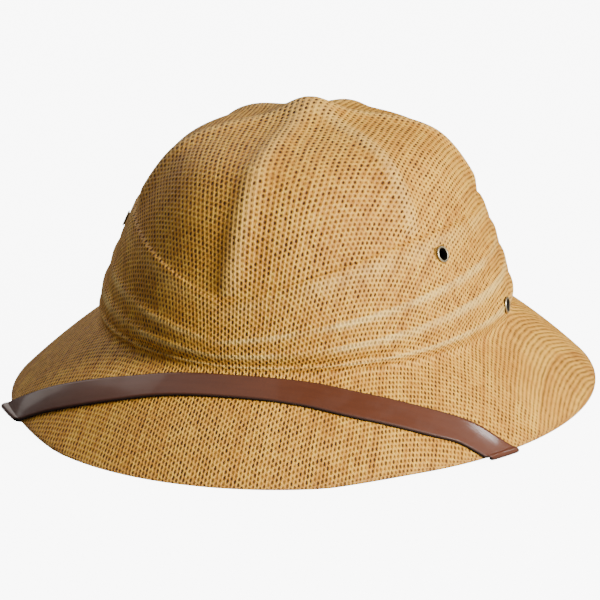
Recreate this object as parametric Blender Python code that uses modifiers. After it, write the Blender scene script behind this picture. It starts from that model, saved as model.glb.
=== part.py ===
"""A straw safari hat of the pith helmet shape: one pressed straw shell, vent eyelets and a leather chin strap.

Metres, +Z up. The front of the hat faces -Y, and the rim rests on the plane z = 0 along its front and back.
An azimuth is counted from the front, positive towards +X.
"""

import functools
import math

import bmesh
import bpy
from mathutils import Matrix, Vector

# Whole hat
BRIM_LENGTH = 0.344
BRIM_WIDTH = 0.2864
CROWN_LENGTH = 0.2348
CROWN_WIDTH = 0.1974
CROWN_HEIGHT = 0.1010
BRIM_DROP = 0.0408
WALL = 0.0018

# Brim
BRIM_START_SLOPE = 0.83
SIDE_LIFT = 0.0036
LIFT_STARTS = math.radians(20)
LIFT_FULL = math.radians(48)
JOINT_FILLET = 0.0045
REST_CUT = 0.0004

# Crown: the block's section, from the brim to the apex, in shares of the crown's height and half-width
CROWN_SECTIONS = (
    {"height": 0.000, "radius": 1.000},
    {"height": 0.100, "radius": 1.004},
    {"height": 0.260, "radius": 0.955},
    {"height": 0.460, "radius": 0.878},
    {"height": 0.667, "radius": 0.781},
    {"height": 0.842, "radius": 0.642},
    {"height": 0.926, "radius": 0.475},
    {"height": 0.974, "radius": 0.245},
    {"height": 1.000, "radius": 0.000},
)

# Ribs that run from the apex down to the scarf
RIB_COUNT = 6
RIB_TURN = math.radians(1.5)
RIB_HEIGHT = 0.0027
RIB_HALF_WIDTH = 0.0052
RIB_RUN_OUT = 0.010
RIB_HEIGHT_AT_APEX = 0.45
RIB_FULL_FROM = 0.075

# Boss in which the ribs meet
BOSS_HEIGHT = 0.0064
BOSS_HALF_WIDTH = 0.0105

# Pleated scarf, pressed in one with the crown
SCARF_FRONT_HEIGHT = 0.031
SCARF_SIDE_HEIGHT = 0.057
SCARF_BACK_HEIGHT = 0.048
SCARF_RISE = 1.15
PLEAT_DEPTH = 0.0019
PLEAT_FADE = math.radians(42)
PLEAT_LEFT_AT_FRONT = 0.25

# Each line of the scarf, from its foot up: its share of the scarf's height at the front and at the back, and
# how far it stands out, as a share of the pleat depth. A pleat swells just below each fold line.
SCARF_FOLDS = (
    {"front": 0.000, "back": 0.00, "proud": 0.15},
    {"front": 0.030, "back": 0.12, "proud": 0.70},
    {"front": 0.065, "back": 0.24, "proud": 1.00},
    {"front": 0.090, "back": 0.34, "proud": 0.35},
    {"front": 0.150, "back": 0.44, "proud": 0.75},
    {"front": 0.220, "back": 0.54, "proud": 1.00},
    {"front": 0.280, "back": 0.62, "proud": 0.35},
    {"front": 0.360, "back": 0.71, "proud": 0.75},
    {"front": 0.430, "back": 0.79, "proud": 1.00},
    {"front": 0.500, "back": 0.86, "proud": 0.40},
    {"front": 0.680, "back": 0.91, "proud": 0.75},
    {"front": 0.880, "back": 0.96, "proud": 0.85},
    {"front": 0.965, "back": 0.985, "proud": 0.75},
    {"front": 1.000, "back": 1.00, "proud": 0.05},
)

# Vent eyelets, one of each on either side
EYELETS = (
    {"name": "eyelet_upper", "azimuth": math.radians(70.5), "height": 0.0452},
    {"name": "eyelet_lower", "azimuth": math.radians(97), "height": 0.0094},
)
EYELET_HOLE_RADIUS = 0.0029
EYELET_BARREL_RADIUS = 0.0033
EYELET_FLANGE_RADIUS = 0.0042
EYELET_FLANGE_HEIGHT = 0.0007
EYELET_SEAT_RADIUS = 0.0066
EYELET_SIDES = 16

# Chin strap
STRAP_WIDTH = 0.0146
STRAP_THICKNESS = 0.0014
STRAP_END = 0.0073
STRAP_TAB = 0.009
STRAP_SLACK_START = 0.002
STRAP_SLACK_RUN = 0.016
STRAP_STAND_OFF_LEFT = 0.0024
STRAP_STAND_OFF_RIGHT = 0.0009
STAND_OFF_STARTS = math.radians(15)
STAND_OFF_FULL = math.radians(48)
STRAP_STEP = 0.0095
STRAP_TURN_STEP = 0.0016
STRAP_FOOT_STEP = 0.0018
STRAP_SKEW_RUN = 0.028

# The strap's rounded ends: how far past the route's last point, in shares of STRAP_END, and how wide
STRAP_TIP = (
    {"past": 0.62, "width": 1.00},
    {"past": 0.90, "width": 0.78},
    {"past": 1.00, "width": 0.42},
)

# Its route: how far each point has gone round the brim. 0 is the foot of the crown, 1 to 2 is the turn
# round the edge, 3 is the foot of the crown from inside, and 4 is STRAP_TAB up its wall, where it is sewn flat
STRAP_ROUTE = (
    {"azimuth": -84.0, "girth": 4.00},
    {"azimuth": -80.5, "girth": 3.00},
    {"azimuth": -66.0, "girth": 2.50},
    {"azimuth": -51.5, "girth": 2.00},
    {"azimuth": -49.0, "girth": 1.00},
    {"azimuth": -38.0, "girth": 0.66},
    {"azimuth": -24.0, "girth": 0.377},
    {"azimuth": -9.0, "girth": 0.205},
    {"azimuth": 8.0, "girth": 0.153},
    {"azimuth": 24.0, "girth": 0.202},
    {"azimuth": 38.0, "girth": 0.372},
    {"azimuth": 50.0, "girth": 0.575},
    {"azimuth": 58.5, "girth": 0.772},
    {"azimuth": 63.8, "girth": 1.00},
    {"azimuth": 65.8, "girth": 2.00},
    {"azimuth": 74.0, "girth": 2.50},
    {"azimuth": 81.5, "girth": 3.00},
    {"azimuth": 84.5, "girth": 4.00},
)

# Clearances
GAP = 0.0003
UNDER_GAP = 0.0006

# Mesh of the shell
SEGMENTS = 72
RIB_CLUSTER = 0.30
CROWN_RINGS = 9
BRIM_RINGS = (0.05, 0.12, 0.26, 0.46, 0.68, 0.88, 1.00)

COLLECTION = "straw_safari_hat"


def smoothstep(value, low, high):
    """0 below low, 1 above high, and a smooth rise between them."""
    share = min(max((value - low) / (high - low), 0.0), 1.0)
    return share * share * (3.0 - 2.0 * share)


@functools.cache
def curve_marks(points):
    """The place of each point on a curve through them, from 0 to 1."""
    marks = [0.0]
    for first, second in zip(points, points[1:]):
        marks.append(marks[-1] + math.dist(first, second))
    return [mark / marks[-1] for mark in marks]


def smooth_curve(points, at):
    """The point at this place, from 0 to 1, on a smooth curve through the points."""
    marks = curve_marks(points)
    span = max(i for i in range(len(marks) - 1) if marks[i] <= at or i == 0)
    width = marks[span + 1] - marks[span]
    share = (at - marks[span]) / width
    found = []
    for axis in range(len(points[0])):
        ends = []
        for i in (span, span + 1):
            before = max(i - 1, 0)
            after = min(i + 1, len(points) - 1)
            run = marks[after] - marks[before]
            ends.append(width * (points[after][axis] - points[before][axis]) / run)
        start, end = points[span][axis], points[span + 1][axis]
        found.append(
            (2 * share**3 - 3 * share**2 + 1) * start
            + (share**3 - 2 * share**2 + share) * ends[0]
            + (3 * share**2 - 2 * share**3) * end
            + (share**3 - share**2) * ends[1]
        )
    return found


@functools.cache
def crown_curve():
    """The block's whole section, up one side and down the other, so that it is level at the apex."""
    rows = [(row["radius"], row["height"]) for row in CROWN_SECTIONS]
    return tuple(rows + [(-radius, height) for radius, height in reversed(rows[:-1])])


@functools.cache
def crown_section(place):
    """(radius share, height share) on the block's section: 0 is the brim, 1 is the apex."""
    return smooth_curve(crown_curve(), place / 2.0)


@functools.cache
def crown_place(height):
    """The place on the section at this height above the brim, found by halving."""
    low, high = 0.0, 1.0
    for _ in range(24):
        middle = (low + high) / 2.0
        if crown_section(middle)[1] * CROWN_HEIGHT < height:
            low = middle
        else:
            high = middle
    return (low + high) / 2.0


def oval(azimuth, length, width, height):
    """The point of an oval of this length and width, at this height."""
    return Vector((math.sin(azimuth) * width / 2.0, -math.cos(azimuth) * length / 2.0, height))


def crown_point(azimuth, place):
    """A point on the plain crown."""
    radius, height = crown_section(place)
    return oval(azimuth, CROWN_LENGTH * radius, CROWN_WIDTH * radius, BRIM_DROP + CROWN_HEIGHT * height)


def brim_lift(azimuth):
    """How far the rim is lifted off the surface here: it rests along its front and back only."""
    return SIDE_LIFT * smoothstep(abs(math.sin(azimuth)), math.sin(LIFT_STARTS), math.sin(LIFT_FULL))


def brim_point(azimuth, reach):
    """A point on the plain brim: reach is 0 at the crown and 1 at the rim."""
    drop = BRIM_START_SLOPE * reach + (1.0 - BRIM_START_SLOPE) * reach * reach
    height = BRIM_DROP * (1.0 - drop) + brim_lift(azimuth) * reach - REST_CUT * reach
    length = CROWN_LENGTH + (BRIM_LENGTH - CROWN_LENGTH) * reach
    width = CROWN_WIDTH + (BRIM_WIDTH - CROWN_WIDTH) * reach
    return oval(azimuth, length, width, height)


def brim_slope_length(azimuth):
    """From the foot of the crown to the rim, along the brim."""
    return (brim_point(azimuth, 1.0) - brim_point(azimuth, 0.0)).length


@functools.cache
def plain_point(azimuth, along):
    """A point on the hat with no ribs or pleats. along is the distance outwards from the foot of the crown,
    below 0 it is up the crown's wall. The corner between crown and brim is rounded."""

    def either_side(distance):
        if distance < 0.0:
            return crown_point(azimuth, crown_place(-distance))
        return brim_point(azimuth, distance / brim_slope_length(azimuth))

    if abs(along) >= JOINT_FILLET:
        return either_side(along).freeze()
    share = (along + JOINT_FILLET) / (2.0 * JOINT_FILLET)
    start, corner, end = either_side(-JOINT_FILLET), either_side(0.0), either_side(JOINT_FILLET)
    return (start * (1 - share) ** 2 + corner * 2 * share * (1 - share) + end * share**2).freeze()


def outward(point_at, azimuth, along, step=0.0004):
    """The unit normal, out of the hat, of a surface given by a function of azimuth and along."""
    turn = math.radians(0.2)
    across = point_at(azimuth + turn, along) - point_at(azimuth - turn, along)
    down = point_at(azimuth, along + step) - point_at(azimuth, along - step)
    return down.cross(across).normalized()


def scarf_top(azimuth):
    """The height of the scarf's top line above the brim."""
    from_front = abs(math.atan2(math.sin(azimuth), math.cos(azimuth)))
    if from_front < math.pi / 2.0:
        rise = math.sin(min(SCARF_RISE * from_front, math.pi / 2.0))
        return SCARF_FRONT_HEIGHT + (SCARF_SIDE_HEIGHT - SCARF_FRONT_HEIGHT) * rise
    return SCARF_BACK_HEIGHT + (SCARF_SIDE_HEIGHT - SCARF_BACK_HEIGHT) * math.sin(azimuth) ** 2


def fold_value(fold, column):
    """A column of the fold table at a fold number that may lie between two rows."""
    low = min(int(fold), len(SCARF_FOLDS) - 2)
    share = fold - low
    if column == "proud":
        share = smoothstep(share, 0.0, 1.0)
    return SCARF_FOLDS[low][column] * (1.0 - share) + SCARF_FOLDS[low + 1][column] * share


def fold_height(azimuth, fold):
    """The height of a fold line above the brim. The folds rise and spread from the front to the back."""
    spread = (1.0 - math.cos(azimuth)) / 2.0
    front, back = fold_value(fold, "front"), fold_value(fold, "back")
    return scarf_top(azimuth) * (front + (back - front) * spread)


def fold_at(azimuth, height):
    """The fold number at this height, found by halving."""
    low, high = 0.0, len(SCARF_FOLDS) - 1.0
    for _ in range(20):
        middle = (low + high) / 2.0
        if fold_height(azimuth, middle) < height:
            low = middle
        else:
            high = middle
    return (low + high) / 2.0


def pleat_relief(azimuth, fold):
    """How far the pleated scarf stands out from the plain crown."""
    from_front = abs(math.atan2(math.sin(azimuth), math.cos(azimuth)))
    fade = PLEAT_LEFT_AT_FRONT + (1.0 - PLEAT_LEFT_AT_FRONT) * smoothstep(from_front, 0.0, PLEAT_FADE)
    return PLEAT_DEPTH * fold_value(fold, "proud") * fade


def rib_relief(azimuth, place, height):
    """How far the ribs and the boss stand out here. The ribs run out at the scarf."""
    radius = crown_section(place)[0]
    spot = oval(azimuth, CROWN_LENGTH * radius, CROWN_WIDTH * radius, 0.0)
    left = 1.0
    for rib in range(RIB_COUNT):
        rib_azimuth = RIB_TURN + rib * math.tau / RIB_COUNT
        if math.cos(azimuth - rib_azimuth) > -1e-6:
            line = oval(rib_azimuth, CROWN_LENGTH, CROWN_WIDTH, 0.0).normalized()
            away = spot.cross(line).length
            left *= 1.0 - math.exp(-0.5 * (away / RIB_HALF_WIDTH) ** 2)
    run_out = smoothstep(height - scarf_top(azimuth), 0.0, RIB_RUN_OUT)
    full = RIB_HEIGHT_AT_APEX + (1.0 - RIB_HEIGHT_AT_APEX) * smoothstep(spot.length, 0.0, RIB_FULL_FROM)
    boss = BOSS_HEIGHT * math.exp(-0.5 * (spot.length / BOSS_HALF_WIDTH) ** 2)
    return RIB_HEIGHT * (1.0 - left) * run_out * full + boss


def relief(azimuth, height):
    """How far the crown stands out from its plain form at this height above the brim."""
    if height <= scarf_top(azimuth):
        return pleat_relief(azimuth, fold_at(azimuth, height))
    groove = pleat_relief(azimuth, len(SCARF_FOLDS) - 1.0)
    close_to_line = 1.0 - smoothstep(height - scarf_top(azimuth), 0.0, RIB_RUN_OUT / 3.0)
    return rib_relief(azimuth, crown_place(height), height) + groove * close_to_line


def eyelet_seats():
    """Azimuth, height and name of each eyelet."""
    for eyelet in EYELETS:
        for side, name in ((1, "right"), (-1, "left")):
            yield side * eyelet["azimuth"], eyelet["height"], f"{eyelet['name']}_{name}"


def pressed_relief(azimuth, height):
    """The relief, pressed flat under each eyelet."""
    found = relief(azimuth, height)
    for seat_azimuth, seat_height, _ in eyelet_seats():
        away = (plain_point(azimuth, -height) - plain_point(seat_azimuth, -seat_height)).length
        if away < 2.0 * EYELET_SEAT_RADIUS:
            press = 1.0 - smoothstep(away, EYELET_SEAT_RADIUS, 2.0 * EYELET_SEAT_RADIUS)
            found += (relief(seat_azimuth, seat_height) - found) * press
    return found


def hat_point(azimuth, along):
    """A point on the outside of the hat, with its ribs and pleats."""
    point = plain_point(azimuth, along)
    if along > 0.0:
        fade = 1.0 - smoothstep(along, 0.0, JOINT_FILLET)
        return point + outward(plain_point, azimuth, along) * pressed_relief(azimuth, 0.0) * fade
    return point + outward(plain_point, azimuth, along) * pressed_relief(azimuth, -along)


def ring_places():
    """What each ring of the shell's mesh follows, from near the apex to the rim."""
    for ring in range(1, CROWN_RINGS + 1):
        yield "crown", ring / (CROWN_RINGS + 0.5)
    for fold in reversed(range(len(SCARF_FOLDS))):
        yield "scarf", fold
    for reach in BRIM_RINGS:
        yield "brim", reach


def ring_point(azimuth, kind, value):
    """The point of a ring at an azimuth."""
    if kind == "brim":
        return hat_point(azimuth, value * brim_slope_length(azimuth))
    if kind == "scarf":
        return hat_point(azimuth, -fold_height(azimuth, value))
    top = crown_place(scarf_top(azimuth))
    height = crown_section(1.0 - value * (1.0 - top))[1] * CROWN_HEIGHT
    return hat_point(azimuth, -height)


def material(name, colour, roughness, metallic=0.0):
    """A plain finish."""
    finish = bpy.data.materials.new(name)
    finish.use_nodes = True
    shader = finish.node_tree.nodes["Principled BSDF"]
    shader.inputs["Base Color"].default_value = (*colour, 1.0)
    shader.inputs["Roughness"].default_value = roughness
    shader.inputs["Metallic"].default_value = metallic
    finish.diffuse_color = (*colour, 1.0)
    return finish


def add_object(name, mesh, collection, finish=None):
    """An object of this mesh in this collection."""
    made = bpy.data.objects.new(name, mesh)
    collection.objects.link(made)
    if finish:
        mesh.materials.append(finish)
    return made


def sheet_mesh(name, rows, closed_columns):
    """A flat grid bent into a sheet: rows is a list of rows of points. Coinciding points are welded."""
    bm = bmesh.new()
    bmesh.ops.create_grid(bm, x_segments=len(rows[0]) - 1, y_segments=len(rows) - 1, size=1.0)
    columns, lines = len(rows[0]), len(rows)
    for vertex in bm.verts:
        column = round((vertex.co.x + 1.0) / 2.0 * (columns - 1))
        line = round((vertex.co.y + 1.0) / 2.0 * (lines - 1))
        vertex.co = rows[line][column]
    if closed_columns:
        bmesh.ops.remove_doubles(bm, verts=bm.verts, dist=1e-6)
    bmesh.ops.recalc_face_normals(bm, faces=bm.faces)
    mesh = bpy.data.meshes.new(name)
    bm.to_mesh(mesh)
    bm.free()
    mesh.shade_smooth()
    return mesh


def face_outwards(mesh, point_inside):
    """Turns an open sheet's faces so that they look away from a point."""
    face = mesh.polygons[len(mesh.polygons) // 2]
    if (face.center - point_inside).dot(face.normal) < 0.0:
        mesh.flip_normals()


def make_shell(collection):
    """The crown and brim: one open sheet pressed over the block, with the wall's thickness inwards."""
    azimuths = []
    for i in range(SEGMENTS + 1):
        turn = math.tau * (i % SEGMENTS) / SEGMENTS
        azimuths.append(RIB_TURN + turn - RIB_CLUSTER * math.sin(RIB_COUNT * turn) / RIB_COUNT)
    boss = RIB_HEIGHT * RIB_HEIGHT_AT_APEX + BOSS_HEIGHT
    apex = Vector((0.0, 0.0, BRIM_DROP + CROWN_HEIGHT + boss))
    rows = [[apex] * len(azimuths)]
    for kind, value in ring_places():
        rows.append([ring_point(azimuth, kind, value) for azimuth in azimuths])
    mesh = sheet_mesh("shell", rows, closed_columns=True)
    face_outwards(mesh, Vector((0.0, 0.0, BRIM_DROP)))
    shell = add_object("shell", mesh, collection, material("straw", (0.60, 0.41, 0.20), 0.75))
    wall = shell.modifiers.new("wall", "SOLIDIFY")
    wall.thickness = WALL
    wall.offset = -1.0
    wall.use_even_offset = True
    return shell


def make_cutter(name, mesh, cutters):
    """A hidden cutter."""
    cutter = add_object(name, mesh, cutters)
    cutter.hide_render = True
    cutter.display_type = "WIRE"
    return cutter


def cut(target, cutter, name):
    """Takes the cutter's shape out of the target."""
    boolean = target.modifiers.new(name, "BOOLEAN")
    boolean.operation = "DIFFERENCE"
    boolean.solver = "EXACT"
    boolean.object = cutter


def make_rest_cutter(cutters):
    """A slab under the plane of rest, which cuts the rim flat where it stands on it."""
    bm = bmesh.new()
    bmesh.ops.create_cube(bm, size=1.0)
    slab = 4.0 * JOINT_FILLET
    bmesh.ops.scale(bm, vec=(1.5 * BRIM_WIDTH, 1.5 * BRIM_LENGTH, slab), verts=bm.verts)
    bmesh.ops.translate(bm, vec=(0.0, 0.0, -slab / 2.0), verts=bm.verts)
    mesh = bpy.data.meshes.new("rest_plane")
    bm.to_mesh(mesh)
    bm.free()
    return make_cutter("rest_plane", mesh, cutters)


def seat_frame(azimuth, height):
    """The matrix of an eyelet's seat: its Z axis points out of the hat."""
    normal = outward(plain_point, azimuth, -height)
    across = Vector((0.0, 0.0, 1.0)).cross(normal).normalized()
    up = normal.cross(across)
    frame = Matrix((across, up, normal)).transposed().to_4x4()
    frame.translation = hat_point(azimuth, -height)
    return frame


def make_hole_cutter(name, frame, cutters):
    """A round bar along an eyelet's axis, wider than its barrel by the clearance."""
    bm = bmesh.new()
    radius = EYELET_BARREL_RADIUS + GAP
    bmesh.ops.create_cone(
        bm, cap_ends=True, segments=EYELET_SIDES, radius1=radius, radius2=radius, depth=12.0 * WALL
    )
    mesh = bpy.data.meshes.new(name)
    bm.to_mesh(mesh)
    bm.free()
    cutter = make_cutter(name, mesh, cutters)
    cutter.matrix_world = frame
    return cutter


def height_range(obj, frame, radius):
    """The lowest and highest point of an object along a seat's axis, within a radius of that axis."""
    graph = bpy.context.evaluated_depsgraph_get()
    evaluated = obj.evaluated_get(graph)
    mesh = evaluated.to_mesh()
    to_seat = frame.inverted() @ evaluated.matrix_world
    bm = bmesh.new()
    bm.from_mesh(mesh)
    bm.transform(to_seat)
    for x, y in ((1, 0), (-1, 0), (0, 1), (0, -1)):
        bmesh.ops.bisect_plane(
            bm,
            geom=bm.verts[:] + bm.edges[:] + bm.faces[:],
            plane_co=(x * radius, y * radius, 0.0),
            plane_no=(x, y, 0.0),
            clear_outer=True,
        )
    near = [v.co.z for v in bm.verts if abs(v.co.z) < 6.0 * WALL]
    bm.free()
    evaluated.to_mesh_clear()
    return min(near), max(near)


def make_eyelet(name, frame, low, high, collection, finish):
    """A turned ring with a domed flange outside and a curled one inside, which grip what lies between them."""
    outer, inner = high + GAP, low - GAP
    thick = EYELET_FLANGE_HEIGHT
    profile = (
        (EYELET_HOLE_RADIUS, outer + 0.35 * thick),
        (EYELET_HOLE_RADIUS + 0.45 * thick, outer + thick),
        (EYELET_FLANGE_RADIUS - 0.6 * thick, outer + 0.85 * thick),
        (EYELET_FLANGE_RADIUS, outer),
        (EYELET_BARREL_RADIUS, outer),
        (EYELET_BARREL_RADIUS, inner),
        (EYELET_FLANGE_RADIUS, inner),
        (EYELET_FLANGE_RADIUS - 0.6 * thick, inner - thick),
        (EYELET_HOLE_RADIUS, inner - 0.35 * thick),
    )
    mesh = bpy.data.meshes.new(name)
    count = len(profile)
    points = [(radius, 0.0, height) for radius, height in profile]
    mesh.from_pydata(points, [(i, (i + 1) % count) for i in range(count)], [])
    eyelet = add_object(name, mesh, collection, finish)
    eyelet.matrix_world = frame
    turn = eyelet.modifiers.new("turned", "SCREW")
    turn.axis = "Z"
    turn.angle = math.tau
    turn.steps = EYELET_SIDES
    turn.render_steps = EYELET_SIDES
    turn.use_merge_vertices = True
    turn.merge_threshold = 0.00001
    return eyelet


def turn_radius():
    """The radius at which the middle of the strap goes round the rim."""
    return WALL / 2.0 + UNDER_GAP + STRAP_THICKNESS / 2.0


def route_along(azimuth, girth):
    """The distance along the route's section, counted from the start of the turn round the rim."""
    slope = brim_slope_length(azimuth)
    turn = math.pi * turn_radius()
    marks = (-slope, 0.0, turn, turn + slope, turn + slope + STRAP_TAB)
    low = min(int(girth), len(marks) - 2)
    return marks[low] + (girth - low) * (marks[low + 1] - marks[low])


def strap_slack(distance):
    """How far the strap hangs away from the brim's underside, at this distance from the turn."""
    return distance**2 / (distance + STRAP_SLACK_START) * math.exp(-distance / STRAP_SLACK_RUN)


def stand_off(azimuth):
    """How far the strap's upper edge stands off the brim. The pull round the rim lifts it on both sides."""
    most = STRAP_STAND_OFF_LEFT if azimuth < 0.0 else STRAP_STAND_OFF_RIGHT
    return most * smoothstep(abs(azimuth), STAND_OFF_STARTS, STAND_OFF_FULL)


def strap_point(azimuth, along, proud=0.0):
    """A point on the middle of the strap's thickness, over the brim, round its edge or under it. On top and round
    the edge it stands off by a further distance, proud."""
    slope = brim_slope_length(azimuth)
    turn = math.pi * turn_radius()
    top = GAP + STRAP_THICKNESS / 2.0 + proud
    if along <= 0.0:
        point = plain_point(azimuth, slope + along)
        return point + outward(plain_point, azimuth, slope + along) * top
    if along >= turn:
        place = slope - (along - turn)
        point = plain_point(azimuth, place)
        under = WALL + UNDER_GAP + STRAP_THICKNESS / 2.0 + strap_slack(along - turn)
        return point - outward(plain_point, azimuth, place) * under
    normal = outward(plain_point, azimuth, slope - 0.001)
    rim = plain_point(azimuth, slope)
    past = Vector((normal.x, normal.y, 0.0)).normalized()
    angle = math.pi * along / turn
    under = WALL + UNDER_GAP + STRAP_THICKNESS / 2.0
    middle, reach = (top - under) / 2.0, (top + under) / 2.0
    bulge = turn_radius() + proud
    return rim + normal * (middle + reach * math.cos(angle)) + past * bulge * math.sin(angle)


def strap_stations():
    """(azimuth, along) of points along the strap's centre line, closer together round the rim."""
    rows = [(math.radians(row["azimuth"]), row["girth"]) for row in STRAP_ROUTE]
    scale = (BRIM_LENGTH + BRIM_WIDTH) / 4.0
    knots = tuple((azimuth * scale, route_along(azimuth, girth)) for azimuth, girth in rows)
    dense = [smooth_curve(knots, i / 1200.0) for i in range(1201)]
    dense = [(x / scale, along) for x, along in dense]
    turn = math.pi * turn_radius()
    stations = [dense[0]]
    gone = 0.0
    for before, after in zip(dense, dense[1:]):
        gone += (strap_point(*after) - strap_point(*before)).length
        from_foot = abs(after[1] - turn - brim_slope_length(after[0]))
        if -STRAP_WIDTH / 3.0 < after[1] < turn + STRAP_WIDTH / 3.0:
            step = STRAP_TURN_STEP
        elif from_foot < 2.0 * JOINT_FILLET:
            step = STRAP_FOOT_STEP
        else:
            step = STRAP_STEP
        if gone >= step:
            stations.append(after)
            gone = 0.0
    stations.append(dense[-1])
    return stations


def run_at(stations, index):
    """The strap's direction at a station, and how many metres a radian is there."""
    azimuth, along = stations[index]
    step = math.radians(0.5)
    per_azimuth = (strap_point(azimuth + step, along) - strap_point(azimuth - step, along)).length / (2.0 * step)
    before = stations[max(index - 1, 0)]
    after = stations[min(index + 1, len(stations) - 1)]
    return Vector(((after[0] - before[0]) * per_azimuth, after[1] - before[1])).normalized(), per_azimuth


def strap_row(stations, index, width, onwards=0.0):
    """The points across the strap at a station: square to its run, and along the rim where it turns round it."""
    azimuth, along = stations[index]
    run, per_azimuth = run_at(stations, index)
    azimuth += run.x * onwards / per_azimuth
    along += run.y * onwards
    beyond = max(-along, along - math.pi * turn_radius(), 0.0)
    skew = (1.0 - smoothstep(beyond, 0.3 * STRAP_SKEW_RUN, STRAP_SKEW_RUN)) * run.x / max(abs(run.y), 0.3)
    skew = math.copysign(skew, run.x * run.y)
    row = []
    for share in (-1.0, 0.0, 1.0):
        offset = share * width / 2.0
        across = (-run.y - skew * run.x) * offset
        onward = (run.x - skew * run.y) * offset
        proud = stand_off(azimuth) * (1.0 - share) / 2.0
        row.append(strap_point(azimuth + across / per_azimuth, along + onward, proud))
    return row


def strap_rows():
    """All rows across the strap, with its two rounded ends."""
    stations = strap_stations()
    last = len(stations) - 1
    rows = [strap_row(stations, i, STRAP_WIDTH) for i in range(len(stations))]
    for row in STRAP_TIP:
        width = row["width"] * STRAP_WIDTH
        rows.insert(0, strap_row(stations, 0, width, -row["past"] * STRAP_END))
        rows.append(strap_row(stations, last, width, row["past"] * STRAP_END))
    return rows


def make_strap(collection, finish):
    """The chin strap: a ribbon laid on its route, with the leather's thickness on both sides of it."""
    mesh = sheet_mesh("chin_strap", strap_rows(), closed_columns=False)
    strap = add_object("chin_strap", mesh, collection, finish)
    leather = strap.modifiers.new("leather", "SOLIDIFY")
    leather.thickness = STRAP_THICKNESS
    leather.offset = 0.0
    leather.use_even_offset = True


def main():
    for old in list(bpy.data.objects):
        bpy.data.objects.remove(old, do_unlink=True)
    scene = bpy.context.scene
    parts = bpy.data.collections.new(COLLECTION)
    cutters = bpy.data.collections.new("cutters")
    scene.collection.children.link(parts)
    scene.collection.children.link(cutters)

    shell = make_shell(parts)
    make_strap(parts, material("strap_leather", (0.115, 0.045, 0.030), 0.35))
    brass = material("eyelet_metal", (0.62, 0.56, 0.44), 0.32, 1.0)
    bpy.context.view_layer.update()

    seats = []
    for azimuth, height, name in eyelet_seats():
        frame = seat_frame(azimuth, height)
        seats.append((frame, name, *height_range(shell, frame, EYELET_FLANGE_RADIUS)))
    for frame, name, low, high in seats:
        cut(shell, make_hole_cutter(f"hole_{name}", frame, cutters), f"hole_{name}")
        make_eyelet(name, frame, low, high, parts, brass)
    cut(shell, make_rest_cutter(cutters), "rest_plane")


main()
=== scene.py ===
# %% [markdown]
# A straw safari hat
#
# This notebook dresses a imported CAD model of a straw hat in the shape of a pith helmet. The CAD gives every
# size. What it can't give is the weave, the varnish, the leather and the light, and those are made here.
#
# The straw shell could keep its CAD mesh and only get a material. But that mesh is coarse, and a low sun
# across its pleats would show every facet. So the same form is pressed again from a much finer net, from
# the same sizes.

# %% Load the CAD model
import math

import bmesh
import bpy
import numpy as np
from mathutils import Matrix, Vector


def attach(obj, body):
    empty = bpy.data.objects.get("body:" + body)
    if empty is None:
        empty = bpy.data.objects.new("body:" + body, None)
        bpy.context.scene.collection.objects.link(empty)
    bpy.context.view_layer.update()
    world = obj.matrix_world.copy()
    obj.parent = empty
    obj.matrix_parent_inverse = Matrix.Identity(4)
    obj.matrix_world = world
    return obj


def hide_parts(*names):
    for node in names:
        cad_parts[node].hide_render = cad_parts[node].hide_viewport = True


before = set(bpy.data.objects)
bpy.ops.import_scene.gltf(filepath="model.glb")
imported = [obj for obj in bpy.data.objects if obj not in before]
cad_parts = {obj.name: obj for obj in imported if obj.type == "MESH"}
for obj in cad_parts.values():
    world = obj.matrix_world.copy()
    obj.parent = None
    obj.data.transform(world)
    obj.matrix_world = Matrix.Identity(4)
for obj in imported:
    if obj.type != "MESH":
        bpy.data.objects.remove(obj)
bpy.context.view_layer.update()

# %% [markdown]
# Sizes
#
# All lengths are in metres. The front of the hat faces -Y, and an azimuth is counted from the front towards
# +X. The sizes of the whole form come first, and each smaller one is named where it is first needed. Tables
# further down hold shares of these sizes, so that a hat of another size keeps its character.

# %% Sizes of the whole form
BRIM_LENGTH, BRIM_WIDTH, BRIM_DROP = 0.344, 0.2864, 0.0408
CROWN_LENGTH, CROWN_WIDTH, CROWN_HEIGHT = 0.2348, 0.1974, 0.1010
WALL = 0.0018
print("a hat of", BRIM_LENGTH, "by", BRIM_WIDTH, "m")

# %% [markdown]
# Camera and light
#
# The photograph looks down on the hat a little, from the front and its +X side. A long lens from two metres
# gives the same flat perspective. Blender's tracking constraint could aim the camera, but the picture is
# also rolled by less than a degree, so the camera's axes are written straight into its matrix.
#
# Four softboxes light the hat. The key stands low on the right, so that every pleat throws a small shadow,
# and the top light opens those shadows. The rim light draws the dark side of the crown and the strap's left
# end, and the kicker is placed where the strap's right end mirrors it into the lens.

# %% Camera
AZIMUTH, ELEVATION, DISTANCE = math.radians(21.5), math.radians(14.8), 2.0
ROLL = math.radians(-0.78)
TARGET = Vector((0.0, 0.0, 0.075))
# How far right of and over the middle of the picture the target shows.
SHIFT_RIGHT, SHIFT_UP = 0.0038, 0.0289
FOCAL_LENGTH, SENSOR_WIDTH = 240.0, 36.0


def view_axes(azimuth, elevation):
    """Right, up and back of a camera that looks at the hat from here."""
    level = math.cos(elevation)
    back = Vector((math.sin(azimuth) * level, -math.cos(azimuth) * level, math.sin(elevation)))
    right = Vector((math.cos(azimuth), math.sin(azimuth), 0.0))
    return right, back.cross(right), back


def add_object(name, data):
    made = bpy.data.objects.new(name, data)
    bpy.context.scene.collection.objects.link(made)
    return made


def put_at(obj, location, right, up, back):
    """Puts an object here with these axes."""
    obj.matrix_world = Matrix.Translation(location) @ Matrix((right, up, back)).transposed().to_4x4()


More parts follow.
